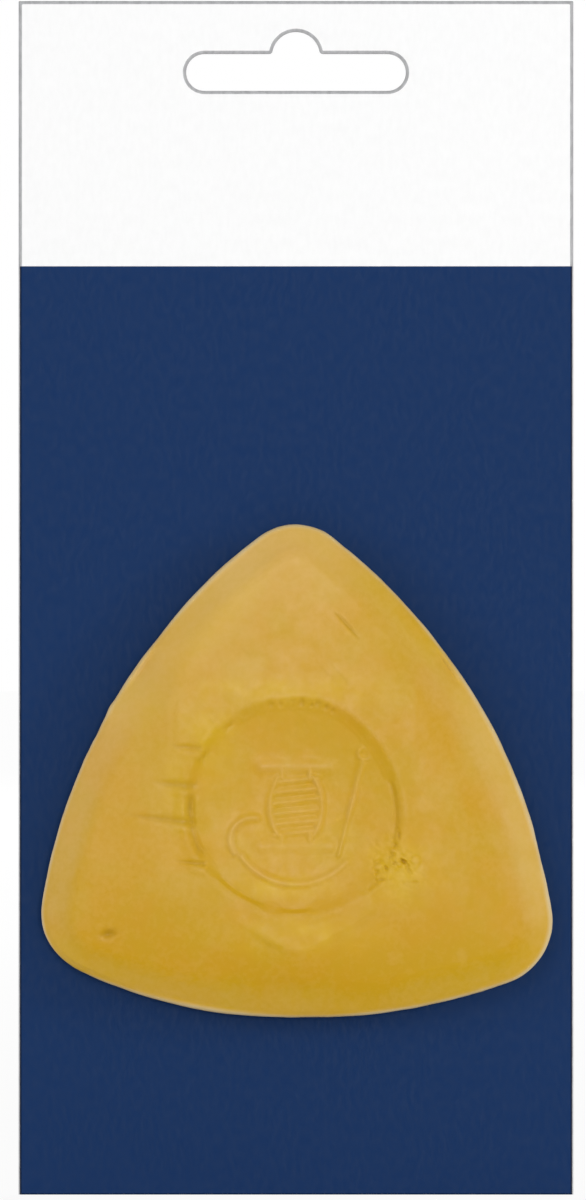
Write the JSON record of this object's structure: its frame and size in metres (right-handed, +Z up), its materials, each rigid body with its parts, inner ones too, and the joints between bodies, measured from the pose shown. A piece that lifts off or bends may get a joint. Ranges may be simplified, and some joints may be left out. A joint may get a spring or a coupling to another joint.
{
  "type": "tailors chalk",
  "caption": "Triangular tailor's chalk with rounded corners, bevelled drawing edges and a dished round stamp, stuck on a tall board hang card with a euro slot.",
  "frame": {"origin": "the point where a display hook bears: the top of the bump of the euro slot, in the plane of the card's back face", "axes": "+Z up along the card's height, +X to the right as seen from the front, the printed front faces -Y"},
  "size_m": [0.06, 0.0083, 0.1297],
  "materials": {
    "board": "smooth white coated board",
    "ink": "flat navy offset print, slight satin",
    "chalk": "ochre yellow pressed clay chalk, waxy matte",
    "adhesive": "clear removable adhesive"
  },
  "bodies": {
    "card": {"card": "board", "ink_field": "ink", "adhesive_dot_top": "adhesive", "adhesive_dot_left": "adhesive", "adhesive_dot_right": "adhesive"},
    "chalk": {"chalk": "chalk"}
  },
  "joints": [
    {"name": "chalk_peel", "type": "slide", "parent": "card", "child": "chalk", "axis": [0, -1, 0], "range_m": [0, 0.03]}
  ]
}
